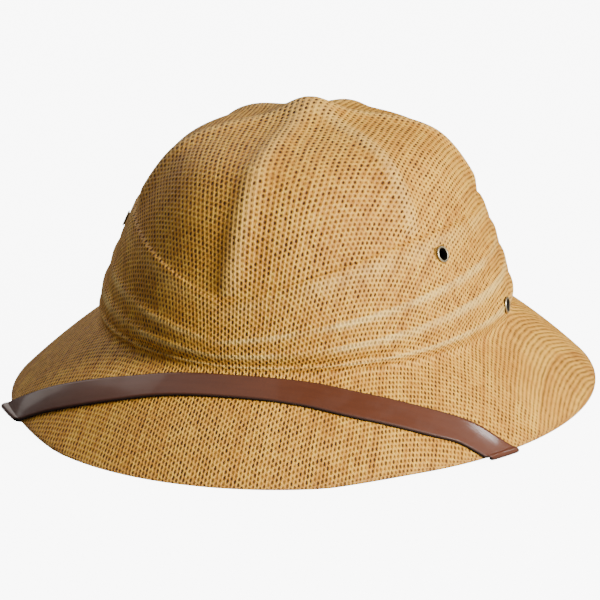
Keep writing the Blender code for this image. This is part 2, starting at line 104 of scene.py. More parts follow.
def add_camera():
    right, up, back = view_axes(AZIMUTH, ELEVATION)
    eye = TARGET + back * DISTANCE
    aim = TARGET - right * SHIFT_RIGHT - up * SHIFT_UP
    axis = (eye - aim).normalized()
    level = up.cross(axis).normalized()
    above = axis.cross(level)
    rolled = level * math.cos(ROLL) - above * math.sin(ROLL)
    lens = bpy.data.cameras.new("camera")
    lens.lens, lens.sensor_width = FOCAL_LENGTH, SENSOR_WIDTH
    camera = add_object("camera", lens)
    put_at(camera, eye, rolled, axis.cross(rolled), axis)
    bpy.context.scene.camera = camera


add_camera()
print("the camera stands", DISTANCE, "m from the hat")

# %% Softboxes
# Name, azimuth and elevation in degrees, distance, size, power and colour.
SOFTBOXES = (
    ("key", 75.0, 27.0, 1.5, 0.5, 53.5, (1.0, 0.975, 0.92)),
    ("top", -70.0, 72.0, 2.0, 1.2, 3.8, (1.0, 0.985, 0.96)),
    ("rim", -127.0, 35.5, 2.2, 1.6, 16.0, (1.0, 0.97, 0.92)),
    ("kicker", 128.0, 41.5, 2.0, 0.16, 4.0, (1.0, 1.0, 1.0)),
)


def add_softbox(name, azimuth, elevation, distance, size, power, colour):
    """A square area light that looks at the hat. The azimuth is counted as for the hat."""
    right, up, back = view_axes(math.radians(azimuth), math.radians(elevation))
    lamp = bpy.data.lights.new(name, "AREA")
    lamp.shape, lamp.size, lamp.energy, lamp.color = "SQUARE", size, power, colour
    put_at(add_object(name, lamp), TARGET + back * distance, right, up, back)


for softbox in SOFTBOXES:
    add_softbox(*softbox)
print("softboxes:", len(SOFTBOXES))

# %% [markdown]
# Building blocks for materials
#
# A finish is arithmetic on a few numbers: a place, a noise, a mask. Adding every Math node by hand would
# hide that arithmetic. Open Shading Language could state it plainly, but it renders slower and doesn't
# export. So a small class stands for a value in a node tree, and a sum or a product of such values adds the
# node for it.


# %% Values of a node tree
def feed(tree, node, inputs):
    """Links values of the tree to a node's inputs, or sets plain numbers and colours there."""
    for name, value in inputs.items():
        socket = node.inputs[name]
        if isinstance(value, Value):
            tree.links.new(value.socket, socket)
        else:
            socket.default_value = (*value, 1.0) if socket.type == "RGBA" else value


def add_node(tree, kind, inputs, output=0, **settings):
    """Adds a node with these settings and inputs, and gives one of its outputs."""
    node = tree.nodes.new("ShaderNode" + kind)
    for name, setting in settings.items():
        setattr(node, name, setting)
    feed(tree, node, inputs)
    return Value(tree, node.outputs[output])


def arithmetic(operation, swapped=False):
    """A method that adds a Math node for this operation."""

    def method(self, *others):
        return self.math(operation, *(*others, self) if swapped else (self, *others))

    return method


class Value:
    """A number, vector or colour in a node tree. Arithmetic on it adds Math nodes."""

    __add__, __mul__, __truediv__, __pow__ = map(arithmetic, ("ADD", "MULTIPLY", "DIVIDE", "POWER"))
    __sub__, __rsub__ = arithmetic("SUBTRACT"), arithmetic("SUBTRACT", swapped=True)
    __abs__, __floor__ = arithmetic("ABSOLUTE"), arithmetic("FLOOR")

    def __init__(self, tree, socket):
        self.tree, self.socket = tree, socket

    def math(self, operation, *values):
        return add_node(self.tree, "Math", dict(enumerate(values)), operation=operation)

    def part(self, axis):
        """X, Y or Z of a vector."""
        return add_node(self.tree, "SeparateXYZ", {0: self}, axis)

    def ramp(self, low, high, start=0.0, end=1.0, kind="SMOOTHSTEP"):
        """Maps low..high to start..end, clamped at both ends."""
        spans = {"Value": self, "From Min": low, "From Max": high, "To Min": start, "To Max": end}
        return add_node(self.tree, "MapRange", spans, interpolation_type=kind)

    def noise(self, scale, detail=2.0, roughness=0.5):
        """A soft noise from 0 to 1, over a vector."""
        inputs = {"Vector": self, "Scale": scale, "Detail": detail, "Roughness": roughness}
        return add_node(self.tree, "TexNoise", inputs, "Fac")


# %% Mixed colours and new materials
def mix(amount, first, second):
    """Mixes two colours, given as values of the tree or as red, green and blue."""
    return add_node(amount.tree, "Mix", {"Factor": amount, 6: first, 7: second}, 2, data_type="RGBA")


def new_material(name, specular, metallic=0.0):
    """A material, its node tree and its Principled shader."""
    made = bpy.data.materials.new(name)
    made.use_nodes = True
    shader = made.node_tree.nodes["Principled BSDF"]
    feed(made.node_tree, shader, {"Specular IOR Level": specular, "Metallic": metallic})
    return made, made.node_tree, shader


# %% [markdown]
# Studio
#
# The world is a pale grey, so that every face gets some light. The floor is one large disc, whose edge lies
# far behind the picture. In white it would throw so much light up that the dark side of the hat disappears.
# So the paper is mid grey, and it glows white for the camera only: the Light Path node keeps that glow off
# the hat. The oval of floor under the hat has no glow either, or it would shine through the eyelets.

# %% Floor and world
PAPER_COLOUR, PAPER_GLOW = (0.26, 0.26, 0.26), 8.5
GLOW_STARTS, GLOW_FULL = 0.80, 0.92


def glowing_paper():
    made, tree, shader = new_material("paper", 0.2)
    place = add_node(tree, "TexCoord", {}, "Object")
    scale = {0: place, 1: (2.0 / BRIM_WIDTH, 2.0 / BRIM_LENGTH, 0.0)}
    shares = add_node(tree, "VectorMath", scale, operation="MULTIPLY")
    from_middle = add_node(tree, "VectorMath", {0: shares}, "Value", operation="LENGTH")
    for_camera = add_node(tree, "LightPath", {}, "Is Camera Ray")
    glow = for_camera * from_middle.ramp(GLOW_STARTS, GLOW_FULL, 0.0, PAPER_GLOW, "LINEAR")
    feed(tree, shader, {
        "Base Color": PAPER_COLOUR,
        "Roughness": 0.9,
        "Emission Color": (1.0, 1.0, 1.0),
        "Emission Strength": glow,
    })
    return made


def add_studio():
    world = bpy.data.worlds.new("studio")
    world.use_nodes = True
    background = world.node_tree.nodes["Background"]
    feed(world.node_tree, background, {"Color": (0.97, 0.98, 1.0), "Strength": 0.12})
    bpy.context.scene.world = world
    bm = bmesh.new()
    bmesh.ops.create_circle(bm, cap_ends=True, segments=64, radius=12.0)
    mesh = bpy.data.meshes.new("floor")
    bm.to_mesh(mesh)
    bm.free()
    mesh.materials.append(glowing_paper())
    floor = add_object("floor", mesh)


add_studio()
print("the floor is laid")

# %% [markdown]
# The block
#
# A real straw hat is steamed and pressed over a wooden block. Here the block is a set of functions, which
# take arrays of azimuths and of distances from the foot of the crown, and give points in space. Working on
# whole arrays keeps this quick: the net has nearly forty thousand points on either face.


# %% Smooth steps and curves
def smoothstep(value, low, high):
    """0 below low, 1 above high, and a smooth rise between them."""
    share = np.clip((value - low) / (high - low), 0.0, 1.0)
    return share * share * (3.0 - 2.0 * share)


def lengths(vectors):
    return np.linalg.norm(vectors, axis=-1)


def unit(vectors):
    return vectors / lengths(vectors)[..., None]


def travelled(points):
    """How far each of a row of points lies from the first, along the row."""
    return np.concatenate([[0.0], np.cumsum(lengths(np.diff(points, axis=0)))])


def smooth_curve(points, count):
    """This many points, evenly spaced in the curve's own measure, on a smooth curve through the points."""
    marks = travelled(points)
    marks /= marks[-1]
    at = np.linspace(0.0, 1.0, count)
    span = np.clip(np.searchsorted(marks, at, side="right") - 1, 0, len(marks) - 2)
    width = (marks[span + 1] - marks[span])[:, None]
    share = (at[:, None] - marks[span][:, None]) / width
    index = np.arange(len(points))
    before, after = np.maximum(index - 1, 0), np.minimum(index + 1, len(points) - 1)
    slopes = (points[after] - points[before]) / (marks[after] - marks[before])[:, None]
    return (
        (2 * share**3 - 3 * share**2 + 1) * points[span]
        + (share**3 - 2 * share**2 + share) * width * slopes[span]
        + (3 * share**2 - 2 * share**3) * points[span + 1]
        + (share**3 - share**2) * width * slopes[span + 1]
    )

# %% Section of the block
CURVE_POINTS = 3001
# The block's section: height and radius, from the brim up to the apex.
CROWN_SECTIONS = np.array([
    (0.000, 1.000), (0.100, 1.004), (0.260, 0.955), (0.460, 0.878), (0.667, 0.781),
    (0.842, 0.642), (0.926, 0.475), (0.974, 0.245), (1.000, 0.000),
])
# The section runs on down its mirror image, so that it is level at the apex.
mirrored = CROWN_SECTIONS[-2::-1] * (1.0, -1.0)
section = smooth_curve(np.concatenate([CROWN_SECTIONS, mirrored]), 2 * CURVE_POINTS - 1)[:CURVE_POINTS]
SECTION_HEIGHTS, SECTION_RADII = np.maximum.accumulate(section[:, 0]), section[:, 1]
print("the section is level at the apex to", 1.0 - SECTION_HEIGHTS[-2])

# %% [markdown]
# The crown and the brim meet at a corner, which is rounded by a small quadratic arc. Along it, both
# surfaces are mixed with their corner point, so that the two tangents stay as they are.

# %% Crown and brim
BRIM_START_SLOPE = 0.83
SIDE_LIFT, LIFT_STARTS, LIFT_FULL = 0.0036, math.radians(20), math.radians(48)
REST_CUT = 0.0004


def oval(azimuth, length, width, height):
    """Points of an oval."""
    x, y = np.sin(azimuth) * width / 2.0, -np.cos(azimuth) * length / 2.0
    return np.stack([x, y, height + 0.0 * azimuth], -1)


def crown_radius(height):
    """The crown's radius share at a height above the brim."""
    return np.interp(height / CROWN_HEIGHT, SECTION_HEIGHTS, SECTION_RADII)


def crown_oval(azimuth, radius, height=0.0):
    """Points of the crown at a radius share, put at this height."""
    return oval(azimuth, CROWN_LENGTH * radius, CROWN_WIDTH * radius, height)


def crown_point(azimuth, height):
    return crown_oval(azimuth, crown_radius(height), BRIM_DROP + height)


def brim_point(azimuth, reach):
    """A point of the brim: reach is 0 at the crown and 1 at the rim."""
    drop = BRIM_START_SLOPE * reach + (1.0 - BRIM_START_SLOPE) * reach**2
    lift = SIDE_LIFT * smoothstep(np.abs(np.sin(azimuth)), math.sin(LIFT_STARTS), math.sin(LIFT_FULL))
    height = BRIM_DROP * (1.0 - drop) + (lift - REST_CUT) * reach
    length = CROWN_LENGTH + (BRIM_LENGTH - CROWN_LENGTH) * reach
    width = CROWN_WIDTH + (BRIM_WIDTH - CROWN_WIDTH) * reach
    return oval(azimuth, length, width, height)


def brim_slope(azimuth):
    """The length from the foot of the crown to the rim."""
    return lengths(brim_point(azimuth, 1.0) - brim_point(azimuth, 0.0))


print("the brim slopes down over", brim_slope(np.radians([0, 90])).round(4), "m at its front and side")

# %% Plain form with its rounded corner
JOINT_FILLET = 0.0045


def plain_point(azimuth, along):
    """A point with no ribs or pleats. along runs outwards from the crown's foot, and up the crown below 0."""

    def either_side(distance):
        down = brim_point(azimuth, np.maximum(distance, 0.0) / brim_slope(azimuth))
        up = crown_point(azimuth, np.maximum(-distance, 0.0))
        return np.where((distance < 0.0)[..., None], up, down)

    share = (np.clip(along, -JOINT_FILLET, JOINT_FILLET) + JOINT_FILLET)[..., None] / (2.0 * JOINT_FILLET)
    radius = np.full_like(along, JOINT_FILLET)
    start, corner, end = either_side(-radius), either_side(0.0 * radius), either_side(radius)
    rounded = start * (1 - share) ** 2 + corner * 2 * share * (1 - share) + end * share**2
    return np.where((np.abs(along) < JOINT_FILLET)[..., None], rounded, either_side(along))


def outward(azimuth, along):
    """The unit normal of the plain form."""
    turn, step = math.radians(0.2), 0.0004
    across = plain_point(azimuth + turn, along) - plain_point(azimuth - turn, along)
    down = plain_point(azimuth, along + step) - plain_point(azimuth, along - step)
    return unit(np.cross(down, across))


print("normal at the front of the brim:", outward(np.array([0.0]), np.array([0.03]))[0].round(3))

# %% [markdown]
# Ribs, boss and scarf
#
# Six ribs run down the crown and meet in a low boss. Each is a smooth bump across its own straight line.
# Their heights are joined as 1 minus the product of what each leaves, so that crossing bumps never add up
# to a spike.

# %% Ribs and boss
RIB_COUNT, RIB_TURN = 6, math.radians(1.5)
RIB_HEIGHT, RIB_HALF_WIDTH, RIB_RUN_OUT = 0.0027, 0.0052, 0.010
RIB_HEIGHT_AT_APEX, RIB_FULL_FROM = 0.45, 0.075
BOSS_HEIGHT, BOSS_HALF_WIDTH = 0.0064, 0.0105
SCARF_FRONT_HEIGHT, SCARF_SIDE_HEIGHT, SCARF_BACK_HEIGHT = 0.031, 0.057, 0.048
SCARF_RISE = 1.15


def from_front(azimuth):
    return np.abs(np.arctan2(np.sin(azimuth), np.cos(azimuth)))


def scarf_top(azimuth):
    """The height of the scarf's top line."""
    rise = np.sin(np.minimum(SCARF_RISE * from_front(azimuth), math.pi / 2))
    front = SCARF_FRONT_HEIGHT + (SCARF_SIDE_HEIGHT - SCARF_FRONT_HEIGHT) * rise
    back = SCARF_BACK_HEIGHT + (SCARF_SIDE_HEIGHT - SCARF_BACK_HEIGHT) * np.sin(azimuth) ** 2
    return np.where(from_front(azimuth) < math.pi / 2, front, back)


def rib_mask(azimuth, radius):
    """1 on the line of a rib, and 0 away from it."""
    spot = crown_oval(azimuth, radius)
    left = 1.0
    for rib in range(RIB_COUNT):
        rib_azimuth = RIB_TURN + rib * math.tau / RIB_COUNT
        line = unit(crown_oval(np.array(rib_azimuth), 1.0))
        away = np.abs(spot[..., 0] * line[1] - spot[..., 1] * line[0])
        same_side = np.cos(azimuth - rib_azimuth) > -1e-6
        left = left * np.where(same_side, 1.0 - np.exp(-0.5 * (away / RIB_HALF_WIDTH) ** 2), 1.0)
    return 1.0 - left


def rib_relief(azimuth, height):
    radius = crown_radius(height)
    from_apex = lengths(crown_oval(azimuth, radius))
    run_out = smoothstep(height - scarf_top(azimuth), 0.0, RIB_RUN_OUT)
    full = RIB_HEIGHT_AT_APEX + (1.0 - RIB_HEIGHT_AT_APEX) * smoothstep(from_apex, 0.0, RIB_FULL_FROM)
    boss = BOSS_HEIGHT * np.exp(-0.5 * (from_apex / BOSS_HALF_WIDTH) ** 2)
    return RIB_HEIGHT * rib_mask(azimuth, radius) * run_out * full + boss


scarf_tops = scarf_top(np.radians([0, 90, 180])).round(4)
print("the scarf's top line stands", scarf_tops, "m up at the front, side and back")

# %% [markdown]
# The scarf's fold lines are rows of a table. A height on the crown is turned into a place between two rows,
# and the row gives how far the cloth stands out there. The folds close up at the front, where they also
# grow shallow.

# %% Pleats of the scarf
PLEAT_DEPTH, PLEAT_FADE, PLEAT_LEFT_AT_FRONT = 0.0019, math.radians(42), 0.25

# Each line of the scarf from its foot up: its height at the front, at the back, and how far it stands out.
SCARF_FOLDS = np.array([
    (0.000, 0.00, 0.15), (0.030, 0.12, 0.70), (0.065, 0.24, 1.00), (0.090, 0.34, 0.35), (0.150, 0.44, 0.75),
    (0.220, 0.54, 1.00), (0.280, 0.62, 0.35), (0.360, 0.71, 0.75), (0.430, 0.79, 1.00), (0.500, 0.86, 0.40),
    (0.680, 0.91, 0.75), (0.880, 0.96, 0.85), (0.965, 0.985, 0.75), (1.000, 1.00, 0.05),
])


def fold_heights(azimuth):
    """The height of every fold line at each azimuth."""
    spread = (1.0 - np.cos(azimuth))[..., None] / 2.0
    shares = SCARF_FOLDS[:, 0] + (SCARF_FOLDS[:, 1] - SCARF_FOLDS[:, 0]) * spread
    return scarf_top(azimuth)[..., None] * shares


def pleat_mask(azimuth, height):
    """How far the scarf stands out, from 0 to 1, with no fading towards the front."""
    lines = fold_heights(azimuth)
    low = np.clip((lines <= height[..., None]).sum(-1) - 1, 0, len(SCARF_FOLDS) - 2)
    below = np.take_along_axis(lines, low[..., None], -1)[..., 0]
    above = np.take_along_axis(lines, low[..., None] + 1, -1)[..., 0]
    share = smoothstep(height, below, above)
    return SCARF_FOLDS[low, 2] * (1.0 - share) + SCARF_FOLDS[low + 1, 2] * share


def pleat_relief(azimuth, height):
    fade = smoothstep(from_front(azimuth), 0.0, PLEAT_FADE)
    left = PLEAT_LEFT_AT_FRONT + (1.0 - PLEAT_LEFT_AT_FRONT) * fade
    return PLEAT_DEPTH * pleat_mask(azimuth, height) * left


def relief(azimuth, height):
    """How far the crown stands out from its plain form."""
    top = scarf_top(azimuth)
    past_line = 1.0 - smoothstep(height - top, 0.0, RIB_RUN_OUT / 3.0)
    above = rib_relief(azimuth, height) + pleat_relief(azimuth, top) * past_line
    return np.where(height <= top, pleat_relief(azimuth, height), above)


print("fold lines in the scarf:", len(SCARF_FOLDS))

# %% Seats of the eyelets
# Azimuth of each eyelet, and its height above the foot of the crown.
EYELETS = {
    "eyelet_upper_right": (math.radians(70.5), 0.0452),
    "eyelet_upper_left": (math.radians(-70.5), 0.0452),
    "eyelet_lower_right": (math.radians(97), 0.0094),
    "eyelet_lower_left": (math.radians(-97), 0.0094),
}
EYELET_SEAT = 0.0066


def pressed_relief(azimuth, along):
    """The relief, which is pressed flat under each eyelet and fades out on the brim."""
    height = np.maximum(-along, 0.0)
    found = relief(azimuth, height)
    here = plain_point(azimuth, along)
    for seat_azimuth, seat_height in EYELETS.values():
        seat = np.array([seat_azimuth]), np.array([seat_height])
        away = lengths(here - plain_point(seat[0], -seat[1]))
        press = 1.0 - smoothstep(away, EYELET_SEAT, 2.0 * EYELET_SEAT)
        found = found + (relief(*seat) - found) * press
    return found * (1.0 - smoothstep(along, 0.0, JOINT_FILLET))


def hat_point(azimuth, along):
    return plain_point(azimuth, along) + outward(azimuth, along) * pressed_relief(azimuth, along)[..., None]


print("seats for", len(EYELETS), "eyelets")

# %% [markdown]
# The net of the shell
#
# Rings follow the form: over the crown they are evenly spaced, in the scarf they run along the fold lines,
# which keeps each fold crisp with few faces, and on the brim they close up towards the foot of the crown.

# %% Rings of the net
SEGMENTS = 288
CROWN_RINGS, RINGS_PER_FOLD, BRIM_RINGS = 40, 4, 40
# The first ring lies this share of a step from the apex, and this power draws the brim's rings towards the
# crown.
FIRST_STEP, BRIM_POWER = 0.6, 1.15


def ring_table(azimuth):
    """For each azimuth, the distance along of every ring, from near the apex to the rim."""
    top = scarf_top(azimuth)
    outwards = np.diff(SECTION_RADII) * (CROWN_LENGTH + CROWN_WIDTH) / 4.0
    upwards = np.diff(SECTION_HEIGHTS) * CROWN_HEIGHT
    arc = np.concatenate([[0.0], np.cumsum(np.hypot(outwards, upwards))])
    top_arc = np.interp(top / CROWN_HEIGHT, SECTION_HEIGHTS, arc)
    # A share counts from the scarf's top line up to the apex.
    shares = 1.0 - (np.arange(CROWN_RINGS) + FIRST_STEP) / (CROWN_RINGS + FIRST_STEP)
    crown = -CROWN_HEIGHT * np.array([
        np.interp(top_arc + (arc[-1] - top_arc) * share, arc, SECTION_HEIGHTS) for share in shares
    ])
    folds = fold_heights(azimuth).T
    steps = np.arange(0, (len(SCARF_FOLDS) - 1) * RINGS_PER_FOLD + 1) / RINGS_PER_FOLD
    low = np.minimum(steps.astype(int), len(SCARF_FOLDS) - 2)
    share = (steps - low)[:, None]
    scarf = -(folds[low] * (1.0 - share) + folds[low + 1] * share)[::-1]
    reach = (np.arange(1, BRIM_RINGS + 1) / BRIM_RINGS) ** BRIM_POWER
    brim = reach[:, None] * brim_slope(azimuth)
    return np.concatenate([crown, scarf, brim])


turns = np.arange(SEGMENTS) * math.tau / SEGMENTS
ALONG = ring_table(turns)
AZIMUTHS = np.broadcast_to(turns, ALONG.shape)
print("the net has", ALONG.shape[0], "rings of", SEGMENTS, "points")

# %% [markdown]
# The shell
#
# The outer face is the net itself. The inner face is the same net moved inwards by the thickness of the
# straw. At the rim the two are joined by a half round, as a pressed straw edge has. Blender's Solidify
# modifier would do this too, but it leaves the rim square.

# %% Outer face, rim and inner face
outer = hat_point(AZIMUTHS, ALONG)
normals = outward(AZIMUTHS, ALONG)
rim_along = ALONG[-1] - WALL / 2.0
rim_normals = normals[-1]
rim_middle = plain_point(turns, rim_along) - rim_normals * WALL / 2.0
past_rim = unit(outer[-1] - plain_point(turns, rim_along))
edge = np.array([
    rim_middle + (rim_normals * math.cos(angle) + past_rim * math.sin(angle)) * WALL / 2.0
    for angle in np.radians(range(0, 181, 36))
])
inner = outer - normals * WALL
apex = np.array([0.0, 0.0, BRIM_DROP + CROWN_HEIGHT + RIB_HEIGHT * RIB_HEIGHT_AT_APEX + BOSS_HEIGHT])
shell_rings = np.concatenate([outer[:-1], edge, inner[-2::-1]])
shell_rings[..., 2] = np.maximum(shell_rings[..., 2], 0.0)
print("rings over, round and under the shell:", len(shell_rings))

# %% [markdown]
# How the cloth lies
#
# The weave has to follow the form. A flat pattern seen from above would be stretched down the wall of the
# crown, and a pattern wrapped round the crown would bunch up at the apex, which the real hat doesn't do: it
# is one square of cloth, pulled down over the block on all sides.
#
# So each point of the shell learns its place on that cloth, in millimetres. Its direction from the apex is
# the one it has on a plan of the hat, and its distance is measured down the block itself. The straws then
# run straight over the dome and on down the wall and the brim, and draw together a little on their way. The
# steep wall takes up more cloth than its own height, because the press pushes the rows together there.

# %% A place on the cloth
CLOTH_TURN = math.radians(9.5)
WALL_TAKE_UP = 0.4


def place_on_cloth(azimuth, along):
    """The place on the cloth, in millimetres across and along its threads, for rings from the apex out."""
    base = plain_point(azimuth, along)
    from_axis = lengths(base[..., :2])
    steps = lengths(np.diff(base, axis=0))
    steps += np.where(along[1:] < 0.0, WALL_TAKE_UP * (steps - np.diff(from_axis, axis=0)), 0.0)
    down_block = np.cumsum(np.concatenate([from_axis[:1], steps]), axis=0)
    x, y = np.moveaxis(base[..., :2] / from_axis[..., None] * down_block[..., None] * 1000.0, -1, 0)
    turn_cos, turn_sin = math.cos(CLOTH_TURN), math.sin(CLOTH_TURN)
    return np.stack([x * turn_cos + y * turn_sin, y * turn_cos - x * turn_sin, 0.0 * x], -1)


# %% [markdown]
# The shell gets five facts at each point: its place on the cloth, how far the scarf stands out there,
# whether it lies on a rib, how close it is to the rim, and whether it is on the inside.

# %% Facts of the straw
RIM_SHADE_WIDTH = 0.004
cloth = place_on_cloth(AZIMUTHS, ALONG)
heights = np.maximum(-ALONG, 0.0)
is_scarf = (ALONG <= 0.0) & (heights <= scarf_top(AZIMUTHS))
crest = np.where(is_scarf, pleat_mask(AZIMUTHS, heights), 0.0)
rib = np.where((ALONG < 0.0) & ~is_scarf, rib_mask(AZIMUTHS, crown_radius(heights)), 0.0)
to_rim = np.clip(1.0 - (ALONG[-1] - ALONG) / RIM_SHADE_WIDTH, 0.0, 1.0)
print("the cloth reaches", lengths(cloth).max().round(), "mm from the apex")


# %% Making a mesh
def ring_faces(rings, segments, start=0):
    """The faces between rings of points that lie one after the other."""
    ring, column = np.meshgrid(np.arange(rings - 1), np.arange(segments), indexing="ij")
    here, there = start + ring * segments + column, start + ring * segments + (column + 1) % segments
    return np.stack([here, here + segments, there + segments, there], -1).reshape(-1, 4)


def add_mesh(name, points, faces):
    """A smooth object made of these points and faces."""
    mesh = bpy.data.meshes.new(name)
    mesh.from_pydata(points.tolist(), [], faces)
    mesh.validate()
    mesh.shade_smooth()
    return add_object(name, mesh)


def put_attribute(mesh, name, values):
    """Stores a number or a vector at each point, where a material can read it."""
    kind, field = ("FLOAT_VECTOR", "vector") if values.ndim == 2 else ("FLOAT", "value")
    mesh.attributes.new(name, kind, "POINT").data.foreach_set(field, values.astype(np.float32).ravel())


# %% Piece: the straw shell
def over_and_under(values):
    """The values of the net, round the rim and back on the inside."""
    return np.concatenate([values[:-1], np.repeat(values[-1:], len(edge), 0), values[-2::-1]])


def with_apexes(values, top, bottom):
    """The values of every ring, with those of the outer and inner apex at their ends."""
    return np.concatenate([[top], values.reshape(-1, *values.shape[2:]), [bottom]])


inside = np.repeat([0.0, 1.0], len(shell_rings) // 2 * SEGMENTS)
points = with_apexes(shell_rings, apex, apex - (0.0, 0.0, WALL))
last = len(points) - 1
columns = np.arange(SEGMENTS)
next_columns = (columns + 1) % SEGMENTS
top_fan = np.stack([0 * columns, 1 + columns, 1 + next_columns], -1)
bottom_fan = np.stack([0 * columns + last, last - SEGMENTS + next_columns, last - SEGMENTS + columns], -1)
faces = top_fan.tolist() + ring_faces(len(shell_rings), SEGMENTS, 1).tolist() + bottom_fan.tolist()
shell = add_mesh("straw_shell", points, faces)
for name, values, top, bottom in (
    ("cloth", over_and_under(cloth), np.zeros(3), np.zeros(3)),
    ("crest", over_and_under(crest), 0.0, 0.0),
    ("rib", over_and_under(rib), 1.0, 1.0),
    ("rim", over_and_under(to_rim), 0.0, 0.0),
    ("inside", inside, 0.0, 1.0),
):
    put_attribute(shell.data, name, with_apexes(values, top, bottom))
print("shell:", len(shell.data.polygons), "faces")

# %% [markdown]
# Eyelets
#
# Each vent eyelet is a small brass ring that was turned over on both sides of the straw. A turned profile
# is the natural way to make it. The CAD eyelet says how much it grips, so its height along its own axis is
# read from there.


# %% Turning
def seat_axes(azimuth, height):
    """The place of an eyelet and its three axes, the last one out of the hat."""
    azimuth, height = np.array([azimuth]), np.array([height])
    normal = Vector(outward(azimuth, -height)[0])
    across = Vector((0.0, 0.0, 1.0)).cross(normal).normalized()
    return Vector(hat_point(azimuth, -height)[0]), across, normal.cross(across), normal


def turned(name, profile, sides, axes):
    """A closed profile of (radius, height) turned round the last axis."""
    place, across, up, normal = axes
    angles = np.arange(sides) * math.tau / sides
    points = np.array([
        place + across * (radius * math.cos(angle)) + up * (radius * math.sin(angle)) + normal * height
        for radius, height in profile for angle in angles
    ])
    faces = ring_faces(len(profile) + 1, sides) % len(points)
    return add_mesh(name, points, np.roll(faces[:, ::-1], 1, axis=1).tolist())

# %% Pieces: the eyelets
EYELET_HOLE, EYELET_BARREL, EYELET_FLANGE, EYELET_THICK = 0.0029, 0.0033, 0.0042, 0.0007
EYELET_SIDES, LIP_FULLNESS = 48, 0.8


def rolled_lip(face, thickness):
    """The section of a lip, from the throat outwards."""
    middle, half = (EYELET_HOLE + EYELET_FLANGE) / 2.0, (EYELET_FLANGE - EYELET_HOLE) / 2.0
    return [(middle + half * math.cos(angle), face + thickness * math.sin(angle) ** LIP_FULLNESS)
            for angle in np.radians(range(180, -1, -20))]


def eyelet_profile(outer_face, inner_face):
    """The section of an eyelet from its throat over the rolled flange and back on the inside."""
    barrel = [(EYELET_BARREL, outer_face), (EYELET_BARREL, inner_face)]
    return rolled_lip(outer_face, EYELET_THICK) + barrel + rolled_lip(inner_face, -EYELET_THICK)[::-1]


eyelets, seats = [], {}
for node, (azimuth, height) in EYELETS.items():
    axes = seat_axes(azimuth, height)
    reach = [(vertex.co - axes[0]).dot(axes[3]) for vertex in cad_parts[node].data.vertices]
    low, high = min(reach) + EYELET_THICK, max(reach) - EYELET_THICK
    eyelet = turned(node + "_ring", eyelet_profile(high, low), EYELET_SIDES, axes)
    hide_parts(node)
    eyelets.append(eyelet)
    seats[node] = axes
    print(node, "grips", round((high - low) * 1000, 2), "mm")


# %% [markdown]
# The eyelets need holes in the straw. A Boolean modifier cuts them: the MANIFOLD solver is fast on a closed
# mesh and keeps the facts that are stored at the points.

# %% Holes for the eyelets
GAP = 0.0003
# The cutter is closed by needles at its middle, whose points are then merged.
HOLE_REACH, HOLE_SIDES, NEEDLE, MERGE = 0.012, 32, 1e-5, 5e-5


def cut_round_hole(obj, axes, radius):
    """Cuts a round hole along the last axis."""
    profile = [(NEEDLE, HOLE_REACH), (radius, HOLE_REACH), (radius, -HOLE_REACH), (NEEDLE, -HOLE_REACH)]
    cutter = turned("hole", profile, HOLE_SIDES, axes)
    bm = bmesh.new()
    bm.from_mesh(cutter.data)
    bmesh.ops.remove_doubles(bm, verts=bm.verts, dist=MERGE)
    bmesh.ops.recalc_face_normals(bm, faces=bm.faces)
    bm.to_mesh(cutter.data)
    bm.free()
    hole = obj.modifiers.new("hole", "BOOLEAN")
    hole.operation, hole.solver, hole.object = "DIFFERENCE", "MANIFOLD", cutter
    graph = bpy.context.evaluated_depsgraph_get()
    mesh = bpy.data.meshes.new_from_object(obj.evaluated_get(graph))
    obj.modifiers.clear()
    old, obj.data = obj.data, mesh
    mesh.name = old.name + "_cut"
    bpy.data.meshes.remove(old)
    bpy.data.objects.remove(cutter)


for node, axes in seats.items():
    cut_round_hole(shell, axes, EYELET_BARREL + GAP)
print("shell after its holes:", len(shell.data.polygons), "faces")

# %% [markdown]
# Chin strap
#
# The strap is a flat ribbon of leather on a route: over the front of the brim, round its edge on both
# sides, and back under it to the crown, where its ends are sewn flat. A curve with a bevel could carry a
# flat section, but it would twist freely. Here the route lives on the brim's own surface, so the strap lies
# flat on it.

# %% Surface that the strap follows
STRAP_WIDTH, STRAP_THICKNESS, STRAP_END, STRAP_TAB = 0.0146, 0.0014, 0.0073, 0.009
STRAP_SLACK_START, STRAP_SLACK_RUN = 0.002, 0.016
UNDER_GAP, RIM_INSET = 0.0006, 0.001
TURN_RADIUS = WALL / 2.0 + UNDER_GAP + STRAP_THICKNESS / 2.0
TURN = math.pi * TURN_RADIUS


def strap_point(azimuth, along, proud=0.0):
    """A point in the middle of the strap's thickness. along is below 0 on the brim and above TURN under it.
    proud is how much further the strap stands off here."""
    slope = brim_slope(azimuth)
    over = slope + np.minimum(along, 0.0)
    under = slope - np.maximum(along - TURN, 0.0)
    proud = np.asarray(proud)[..., None]
    top, bottom = GAP + STRAP_THICKNESS / 2.0 + proud, WALL + UNDER_GAP + STRAP_THICKNESS / 2.0
    on_top = plain_point(azimuth, over) + outward(azimuth, over) * top
    gone = np.maximum(along - TURN, 0.0)
    slack = gone**2 / (gone + STRAP_SLACK_START) * np.exp(-gone / STRAP_SLACK_RUN)
    below = plain_point(azimuth, under) - outward(azimuth, under) * (bottom + slack[..., None])
    normal = outward(azimuth, slope - RIM_INSET)
    past = unit(normal * (1.0, 1.0, 0.0))
    angle = np.clip(along / TURN, 0.0, 1.0)[..., None] * math.pi
    round_rim = (
        plain_point(azimuth, slope)
        + normal * ((top - bottom) / 2.0 + (top + bottom) / 2.0 * np.cos(angle))
        + past * (TURN_RADIUS + proud) * np.sin(angle)
    )
    along = along[..., None]
    return np.where(along <= 0.0, on_top, np.where(along >= TURN, below, round_rim))


